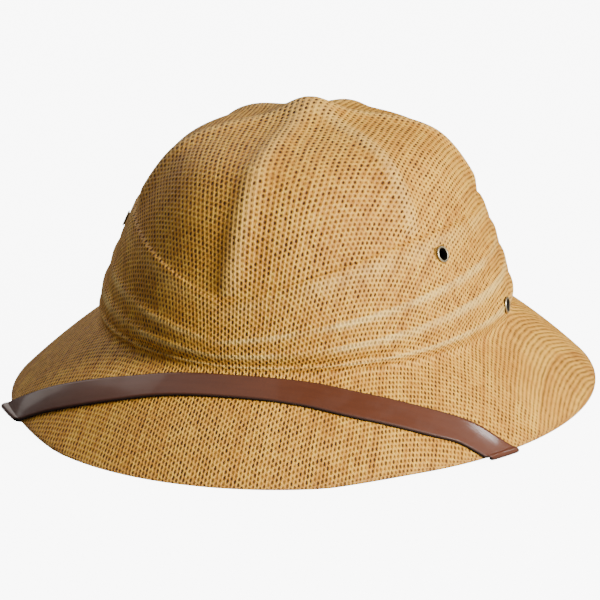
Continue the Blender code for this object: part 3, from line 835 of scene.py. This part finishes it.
def route_along(azimuth, girth):
    """The distance along the route's section, counted from the start of the turn round the rim."""
    slope = brim_slope(azimuth)
    stops = (-slope, 0.0, TURN, TURN + slope, TURN + slope + STRAP_TAB)
    low = min(int(girth), 3)
    return stops[low] + (girth - low) * (stops[low + 1] - stops[low])


print("the strap turns round the rim within", round(TURN * 1000, 1), "mm")

# %% [markdown]
# The route's few knots are joined by a smooth curve, and stations are set along it every two millimetres,
# closer round the rim and at the foot of the crown, where the strap bends. At each station a row of points
# crosses the strap. Where the strap turns round the rim, its rows are skewed until they lie along the rim,
# as the folded leather does.

# %% Stations along the strap
STATION_STEP, TURN_STEP, FOOT_RUN, ROUTE_POINTS = 0.0022, 0.0005, 0.012, 8001
# The strap's route: azimuth in degrees, and how far it has gone round the brim. 0 is the foot of the crown,
# 1 to 2 is the turn round the rim, 3 is the foot from inside, and 4 is the top of its sewn end.
STRAP_ROUTE = (
    (-84.0, 4.00), (-80.5, 3.00), (-66.0, 2.50), (-51.5, 2.00), (-49.0, 1.00), (-38.0, 0.66), (-24.0, 0.377),
    (-9.0, 0.205), (8.0, 0.153), (24.0, 0.202), (38.0, 0.372), (50.0, 0.575), (58.5, 0.772), (63.8, 1.00),
    (65.8, 2.00), (74.0, 2.50), (81.5, 3.00), (84.5, 4.00),
)


def strap_stations():
    """Azimuth and distance along of the strap's stations."""
    scale = (BRIM_LENGTH + BRIM_WIDTH) / 4.0
    rows = [(math.radians(azimuth), girth) for azimuth, girth in STRAP_ROUTE]
    knots = np.array([
        (azimuth * scale, float(route_along(np.array(azimuth), girth))) for azimuth, girth in rows
    ])
    dense = smooth_curve(knots, ROUTE_POINTS)
    azimuth, along = dense[:, 0] / scale, dense[:, 1]
    gone = lengths(np.diff(strap_point(azimuth, along), axis=0))
    near_turn = np.minimum(np.abs(along), np.abs(along - TURN)) < STRAP_WIDTH / 3.0
    near_turn |= (along > 0.0) & (along < TURN)
    near_foot = np.abs(along - TURN - brim_slope(azimuth)) < FOOT_RUN
    step = np.where(near_turn, TURN_STEP, np.where(near_foot, STATION_STEP / 2.0, STATION_STEP))
    counted = np.concatenate([[0.0], np.cumsum(gone / step[1:])])
    wanted = np.linspace(0.0, counted[-1], int(counted[-1]) + 1)
    print("the strap is", round(gone.sum() * 1000), "mm long, with", len(wanted), "stations")
    return np.interp(wanted, counted, azimuth), np.interp(wanted, counted, along)

# %% Rows across the strap
STRAP_STAND_OFF_LEFT, STRAP_STAND_OFF_RIGHT = 0.0024, 0.0009
STAND_OFF_STARTS, STAND_OFF_FULL = math.radians(15), math.radians(48)
# The skew is full up to this share of its run, and the last number bounds it where the strap nearly follows
# the rim.
SKEW_RUN, SKEW_FULL_SHARE, LEAST_STEEPNESS = 0.028, 0.3, 0.3
# The rounded ends: how far each row lies past the last station, and how wide it is.
TIP_PAST = (0.10, 0.30, 0.50, 0.62, 0.74, 0.84, 0.90, 0.955, 0.985, 1.00)
TIP_WIDTH = (1.00, 1.00, 1.00, 1.00, 0.93, 0.85, 0.78, 0.63, 0.50, 0.42)


def strap_grid(azimuth, along, offsets):
    """Points of the strap's middle surface: a row across it for each station, and its ends."""
    step = math.radians(0.5)
    ahead, behind = strap_point(azimuth + step, along), strap_point(azimuth - step, along)
    per_azimuth = lengths(ahead - behind) / (2.0 * step)
    run = unit(np.stack([np.gradient(azimuth) * per_azimuth, np.gradient(along)], -1))
    beyond = np.maximum(np.maximum(-along, along - TURN), 0.0)
    fade = 1.0 - smoothstep(beyond, SKEW_FULL_SHARE * SKEW_RUN, SKEW_RUN)
    amount = fade * run[:, 0] / np.maximum(np.abs(run[:, 1]), LEAST_STEEPNESS)
    skew = np.copysign(amount, run[:, 0] * run[:, 1])
    tips = list(zip(TIP_PAST, TIP_WIDTH))
    first = [(0, -past, width) for past, width in tips[::-1]]
    middle = [(station, 0.0, 1.0) for station in range(len(azimuth))]
    final = [(len(azimuth) - 1, past, width) for past, width in tips]
    index, past, width = map(np.array, zip(*first, *middle, *final))
    go = run[index]
    start_azimuth = azimuth[index] + go[:, 0] * past * STRAP_END / per_azimuth[index]
    start_along = along[index] + go[:, 1] * past * STRAP_END
    across = (-go[:, 1] - skew[index] * go[:, 0])[:, None] * offsets * width[:, None]
    onward = (go[:, 0] - skew[index] * go[:, 1])[:, None] * offsets * width[:, None]
    most = np.where(start_azimuth < 0.0, STRAP_STAND_OFF_LEFT, STRAP_STAND_OFF_RIGHT)
    stand_off = most * smoothstep(np.abs(start_azimuth), STAND_OFF_STARTS, STAND_OFF_FULL)
    proud = stand_off[:, None] * (0.5 - offsets / STRAP_WIDTH)
    turned_azimuth = start_azimuth[:, None] + across / per_azimuth[index][:, None]
    return strap_point(turned_azimuth, start_along[:, None] + onward, proud)


# %% [markdown]
# The section of the strap is a flat slab with softened edges. Each of its points lies at an offset across
# the ribbon and a height over its middle surface. The surface's own normal carries the height.

# %% Section of the strap
half, thick = STRAP_WIDTH / 2.0, STRAP_THICKNESS / 2.0
face = [(-half + 0.0009, thick), (-half + 0.0016, thick), (-half / 2, thick), (0.0, thick * 1.08)]
face += [(-x, z) for x, z in face[-2::-1]]
corner = [(half - 0.0003, thick * 0.72), (half, thick * 0.2), (half, -thick * 0.5), (half - 0.0004, -thick)]
back = [(half / 2, -thick), (0.0, -thick), (-half / 2, -thick)]
SECTION = np.array(face + corner + back + [(-x, z) for x, z in corner[::-1]])
# How far each point belongs to the back, which is painted near black: painted shade for the strap's
# underside.
SECTION_BACK = np.array([0.0] * len(face) + [0.2, 0.8, 1.0, 1.0] + [1.0] * len(back) + [1.0, 1.0, 0.8, 0.2])
print("points round the strap:", len(SECTION))

# %% Piece: the chin strap
NORMAL_STEP, STRAP_LOWEST = 0.0006, 0.0001
offsets = SECTION[:, 0]
stations = strap_stations()
middle_grid = strap_grid(*stations, offsets)
spread = strap_grid(*stations, offsets + NORMAL_STEP) - strap_grid(*stations, offsets - NORMAL_STEP)
strap_normals = unit(np.cross(spread, np.gradient(middle_grid, axis=0)))
# The middle of the strap lies on top of the brim, where its normal points up.
strap_normals *= math.copysign(1.0, strap_normals[len(strap_normals) // 2, 3, 2])
strap_points = middle_grid + strap_normals * SECTION[:, 1][None, :, None]
strap_points[..., 2] = np.maximum(strap_points[..., 2], STRAP_LOWEST)
rows, around = strap_points.shape[:2]
first_end, last_end = list(range(around)), list(range((rows - 1) * around, rows * around))
faces = ring_faces(rows, around).tolist() + [first_end, last_end[::-1]]
strap = add_mesh("strap_leather_ribbon", strap_points.reshape(-1, 3), faces)
put_attribute(strap.data, "back", np.tile(SECTION_BACK, rows))
across, onward = np.broadcast_arrays(offsets * 1000.0, travelled(middle_grid[:, 3])[:, None] * 1000.0)
put_attribute(strap.data, "ribbon", np.stack([across, onward, 0.0 * across], -1).reshape(-1, 3))
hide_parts("chin_strap")
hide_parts("shell")
print("strap:", len(strap.data.polygons), "faces, lowest point", strap_points[..., 2].min())

# %% [markdown]
# Groups and surface
#
# An effect that several finishes share, or that would crowd a material, goes in a node group with named
# inputs and outputs. A bump gives fine relief that would take millions of faces as geometry.


# %% Facts, groups and bump
def read(tree, attribute, output="Fac"):
    """A fact that is stored at the mesh's points."""
    return add_node(tree, "Attribute", {}, output, attribute_name=attribute)


def new_group(name, inputs, outputs):
    """An empty node group, its inputs as values, and a function that links its outputs. The inputs are given
    as name: kind, and every output is a number."""
    group = bpy.data.node_groups.new(name, "ShaderNodeTree")
    for socket_name, kind in inputs.items():
        group.interface.new_socket(socket_name, in_out="INPUT", socket_type=kind)
    for socket_name in outputs:
        group.interface.new_socket(socket_name, in_out="OUTPUT", socket_type="NodeSocketFloat")
    given = group.nodes.new("NodeGroupInput").outputs
    out = group.nodes.new("NodeGroupOutput")

    def give(*values):
        feed(group, out, dict(zip(outputs, values)))

    return group, [Value(group, given[socket_name]) for socket_name in inputs], give


def use_group(tree, group, *values):
    """Puts a group into a tree with these inputs, and gives its outputs by name."""
    node = tree.nodes.new("ShaderNodeGroup")
    node.node_tree = group
    feed(tree, node, dict(enumerate(values)))
    return {socket.name: Value(tree, socket) for socket in node.outputs}


def bump(shader, height, distance, strength):
    inputs = {"Strength": strength, "Distance": distance, "Height": height}
    feed(height.tree, shader, {"Normal": add_node(height.tree, "Bump", inputs)})


# %% [markdown]
# Straw weave
#
# The cloth is a weave of flat paper straw. Close up, the eye sees columns of small dark pits, where the
# straws leave a gap. Pale upright straws run between the columns and swing out round each pit, and between
# two pits of a column a short pale float shows. Each column is shifted by half a step against the next.
#
# An image could be tiled, but it would repeat. Here each pit, straw and float gets its own random number
# from a White Noise node, so pits differ in depth and straws differ in tone, as in a hand loom's cloth. Two
# soft noises bend the columns: a slow sway over the whole cloth, and a shiver of the single straws.

# %% Sizes of the weave
STRAW_PITCH, GRAIN_PITCH = 2.7, 3.35
SWAY_SCALE, SWAY_ACROSS, SWAY_ALONG = 0.045, 1.6, 1.2
SHIVER_SCALE, SHIVER = 0.55, 0.3
# Sizes in the weave are shares of the two pitches.
PIT_HALF_WIDTH, PIT_HALF_LENGTH = 0.215, 0.33
FLOAT_HALF_WIDTH, FLOAT_HALF_LENGTH = 0.30, 0.20
STRAW_HALF_WIDTH, STRAW_SWING = 0.20, 0.07
# How much the tone varies from float to float, straw to straw, weft to weft and along a fibre.
FLOAT_TONE, STRAW_TONE, WEFT_TONE, FIBRE_TONE = 0.22, 0.26, 0.16, 0.75


def vector(x, y, z=0.0):
    return add_node(x.tree, "CombineXYZ", {0: x, 1: y, 2: z})


def white_noise(place, output="Value"):
    """A random number, or a random colour, for each place."""
    return add_node(place.tree, "TexWhiteNoise", {"Vector": place}, output)


def away_from(x, half_width, y, half_length):
    """The squared distance from the middle of an oval, which is 1 on the oval itself."""
    return (x / half_width) ** 2.0 + (y / half_length) ** 2.0


def fading(squared):
    """A soft spot or line: 1 in its middle, and less with the squared distance from it."""
    return squared.math("EXPONENT", squared * -1.0)


print("a column of pits every", STRAW_PITCH, "mm, and a pit every", GRAIN_PITCH, "mm")


# %% Group: straw weave
def straw_weave_group():
    inputs = {"Cloth": "NodeSocketVector", "Openness": "NodeSocketFloat"}
    group, (cloth, openness), give = new_group("straw weave", inputs, ("Pit", "Grain", "Tone", "Height"))
    sway, shiver = cloth.noise(SWAY_SCALE, 1.0), cloth.noise(SHIVER_SCALE, 1.0)
    across = cloth.part("X") + sway * SWAY_ACROSS + shiver * SHIVER
    along = cloth.part("Y") + sway * SWAY_ALONG - shiver * SHIVER
    column = across / STRAW_PITCH
    number = math.floor(column)
    x = column - number - 0.5
    row = along / GRAIN_PITCH + number * 0.5
    row_number = math.floor(row)
    y = row - row_number - 0.5
    weft = math.floor(along / (GRAIN_PITCH / 2.0))

    float_chances = white_noise(vector(number, row_number), "Color")
    float_chance, paleness_chance = (
        add_node(group, "SeparateColor", {0: float_chances}, channel) for channel in ("Red", "Green")
    )
    pit_chance = white_noise(vector(number, math.floor(row + 0.5), 7.0))
    straw_chance = white_noise(vector(number, 3.0))
    weft_chance = white_noise(vector(weft, 11.0))

    away = away_from(x, PIT_HALF_WIDTH, 0.5 - abs(y), PIT_HALF_LENGTH)
    away = away.math("SQRT", away) / pit_chance.ramp(0.0, 1.0, 0.78, 1.30, "LINEAR")
    pit = away.ramp(0.5, 1.2, 1.0, 0.0) * (pit_chance.ramp(0.0, 0.8, 0.66, 1.0) * openness)

    swing = row.math("COSINE", row * math.tau)
    upright = fading(((abs(x) - (swing * STRAW_SWING + 0.5)) / STRAW_HALF_WIDTH) ** 2.0)
    short_float = fading(away_from(x, FLOAT_HALF_WIDTH, y, FLOAT_HALF_LENGTH))
    grain = upright + short_float * paleness_chance.ramp(0.0, 1.0, 0.35, 1.35, "LINEAR")

    fibre = vector(across * 5.0, along * 0.7).noise(1.0)
    tone = (float_chance - 0.5) * FLOAT_TONE + (straw_chance - 0.5) * STRAW_TONE
    tone = tone + (weft_chance - 0.5) * WEFT_TONE + (fibre - 0.5) * FIBRE_TONE
    give(pit, grain, tone, grain * 0.7 - pit * 0.8 + fibre * 0.15)
    return group


weave = straw_weave_group()
print("straw weave group:", len(weave.nodes), "nodes")

# %% [markdown]
# The straw is dyed and lightly varnished. Where the press rubbed it, on the crests of the pleats and on the
# ribs, it is more closed and more glossy, and it is painted paler: partly wear, and partly a painted sheen
# of the varnish. A slow noise gives the tan patches that every straw hat has.

# %% Finish: pressed straw
STRAW_TAN, STRAW_GOLD, STRAW_PALE = (0.585, 0.261, 0.026), (0.68, 0.327, 0.038), (0.97, 0.630, 0.094)
# The worn and rubbed tints are partly wear and partly a painted sheen of the varnish on crests and ribs.
STRAW_BROWN, STRAW_WORN_AND_SHEEN, STRAW_RUBBED_AND_SHEEN = (0.28, 0.095, 0.013), (0.98, 0.73, 0.25), (0.97, 0.69, 0.22)
PIT_SHADE, RIM_SHADE, INNER_SHADE = (0.060, 0.020, 0.005), (0.34, 0.15, 0.045), (0.36, 0.18, 0.06)


def straw_material():
    made, tree, shader = new_material("pressed straw", 0.25)
    place = read(tree, "cloth", "Vector")
    facts = ("crest", "rib", "rim", "inside")
    crest_amount, rib_amount, rim_amount, inner = (read(tree, name) for name in facts)
    patch, blotch = place.noise(0.018, 3.0, 0.6), place.noise(0.10, 2.0, 0.55)
    # Pale crests: partly wear, and partly a painted sheen of the varnish.
    worn_and_sheen = crest_amount.ramp(0.72, 1.0) * patch.ramp(0.35, 0.60, 0.15, 1.0)
    openness = (patch + blotch * 0.6).ramp(0.62, 0.86, 0.82, 1.0) - worn_and_sheen * 0.35
    found = use_group(tree, weave, place, openness)
    light = found["Grain"] * 0.29 + found["Tone"]

    colour = mix(patch.ramp(0.38, 0.66), STRAW_TAN, STRAW_GOLD)
    for amount, tint in (
        (light.ramp(0.15, 0.85, 0.0, 0.9, "LINEAR"), STRAW_PALE),
        (light.ramp(0.22, -0.25, 0.0, 0.7, "LINEAR"), STRAW_BROWN),
        # These two tints paint the varnish's sheen on the crests and ribs, on top of their wear.
        (worn_and_sheen * 0.46, STRAW_WORN_AND_SHEEN),
        (rib_amount.ramp(0.45, 1.0) * 0.22, STRAW_RUBBED_AND_SHEEN),
        (found["Pit"], PIT_SHADE),
        (rim_amount * 0.35, RIM_SHADE),
        (inner * 0.35, INNER_SHADE),
    ):
        colour = mix(amount, colour, tint)
    roughness = 0.55 - found["Grain"] * 0.06 - worn_and_sheen * 0.12 + found["Pit"] * 0.3
    feed(tree, shader, {"Base Color": colour, "Roughness": roughness})
    bump(shader, found["Height"], 0.0004, 0.9)
    return made


def dress(obj, finish):
    """Gives a piece its finish, and parents it to the hat's root empty, so that it moves with the hat."""
    obj.data.materials.clear()
    obj.data.materials.append(finish)
    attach(obj, "root")


dress(shell, straw_material())
print("the shell is dressed in straw")

# %% [markdown]
# Surface grain
#
# Leather and old brass both show a fine uneven grain and soft marks from handling. One group makes both
# masks, and each material asks for them at its own scale.


# %% Group: handled grain
def handled_grain_group():
    inputs = {"Place": "NodeSocketVector", "Scale": "NodeSocketFloat"}
    group, (place, scale), give = new_group("handled grain", inputs, ("Pores", "Marks"))
    cells = add_node(group, "TexVoronoi", {"Vector": place, "Scale": scale}, "Distance", feature="F1")
    give(cells.ramp(0.1, 0.7), place.noise(scale * 0.05, 3.0, 0.6).ramp(0.4, 0.66))
    return group


grain_group = handled_grain_group()
print("handled grain group:", len(grain_group.nodes), "nodes")

# %% [markdown]
# Leather
#
# The strap has a smooth brown face under a clear finish and dark dyed edges. Its back is painted near black,
# as painted shade where it turns under the brim. The finish gives it sharp highlights over a softer body,
# which is what the Coat of the Principled shader is for.

# %% Finish: brown leather
LEATHER_DARK, LEATHER_LIGHT = (0.089, 0.0255, 0.0108), (0.100, 0.0292, 0.0126)
LEATHER_MARK, LEATHER_EDGE = (0.098, 0.032, 0.016), (0.022, 0.009, 0.007)
# The near-black back is painted shade for the strap's underside.
LEATHER_BACK_SHADE = (0.010, 0.009, 0.009)


def leather_material():
    made, tree, shader = new_material("finished brown leather", 0.25)
    place, underside = read(tree, "ribbon", "Vector"), read(tree, "back")
    marks = use_group(tree, grain_group, place, 1.6)
    half_width = STRAP_WIDTH * 1000.0 / 2.0
    edge_dye = abs(place.part("X")).ramp(half_width - 1.3, half_width - 0.1)
    streak = vector(place.part("X"), place.part("Y") * 0.10).noise(0.35)
    colour = mix(streak.ramp(0.30, 0.70), LEATHER_DARK, LEATHER_LIGHT)
    colour = mix(marks["Marks"] * 0.25, colour, LEATHER_MARK)
    colour = mix(edge_dye * 0.75, colour, LEATHER_EDGE)
    dull = underside.math("MAXIMUM", underside, edge_dye)
    feed(tree, shader, {
        # The back is painted near black: painted shade for the strap's underside.
        "Base Color": mix(underside, colour, LEATHER_BACK_SHADE),
        "Roughness": marks["Marks"] * 0.12 + 0.36 + dull * 0.4,
        "Coat Roughness": 0.10,
        "Coat Weight": dull.ramp(0.0, 0.6, 0.34, 0.0),
    })
    bump(shader, marks["Pores"], 0.00003, 0.3)
    return made


dress(strap, leather_material())
print("the strap is dressed in leather")

# %% [markdown]
# Brass
#
# The eyelets are brass that has gone dull in its corners. The top of the rolled ring is rubbed bright, and
# the throat is dark. How far a point lies from the eyelet's own axis is stored at its points, which tells
# the two apart.

# %% Finish: antique brass
BRASS_RUBBED, BRASS_DULL, BRASS_THROAT = (0.58, 0.50, 0.34), (0.42, 0.35, 0.22), (0.045, 0.036, 0.026)


def brass_material():
    made, tree, shader = new_material("antique brass", 0.5, metallic=1.0)
    throat = read(tree, "throat")
    marks = use_group(tree, grain_group, add_node(tree, "TexCoord", {}, "Object"), 2500.0)
    colour = mix(marks["Marks"], BRASS_RUBBED, BRASS_DULL)
    roughness = marks["Marks"] * 0.18 + 0.34 + throat * 0.3
    feed(tree, shader, {"Base Color": mix(throat, colour, BRASS_THROAT), "Roughness": roughness})
    bump(shader, marks["Pores"], 0.00003, 0.4)
    return made


def put_throat(eyelet, axes):
    """Stores 1 in the throat of an eyelet, less on its inside and 0 on the ring that shows."""
    values = []
    for vertex in eyelet.data.vertices:
        offset = vertex.co - axes[0]
        height = offset.dot(axes[3])
        radius = (offset - axes[3] * height).length
        bright = smoothstep(radius, EYELET_HOLE + 0.0001, EYELET_HOLE + 0.0005)
        values.append(1.0 - bright * (1.0 if height > 0.0 else 0.4))
    put_attribute(eyelet.data, "throat", np.array(values))


brass = brass_material()
for eyelet, axes in zip(eyelets, seats.values()):
    put_throat(eyelet, axes)
    dress(eyelet, brass)
print("the eyelets are dressed in brass")
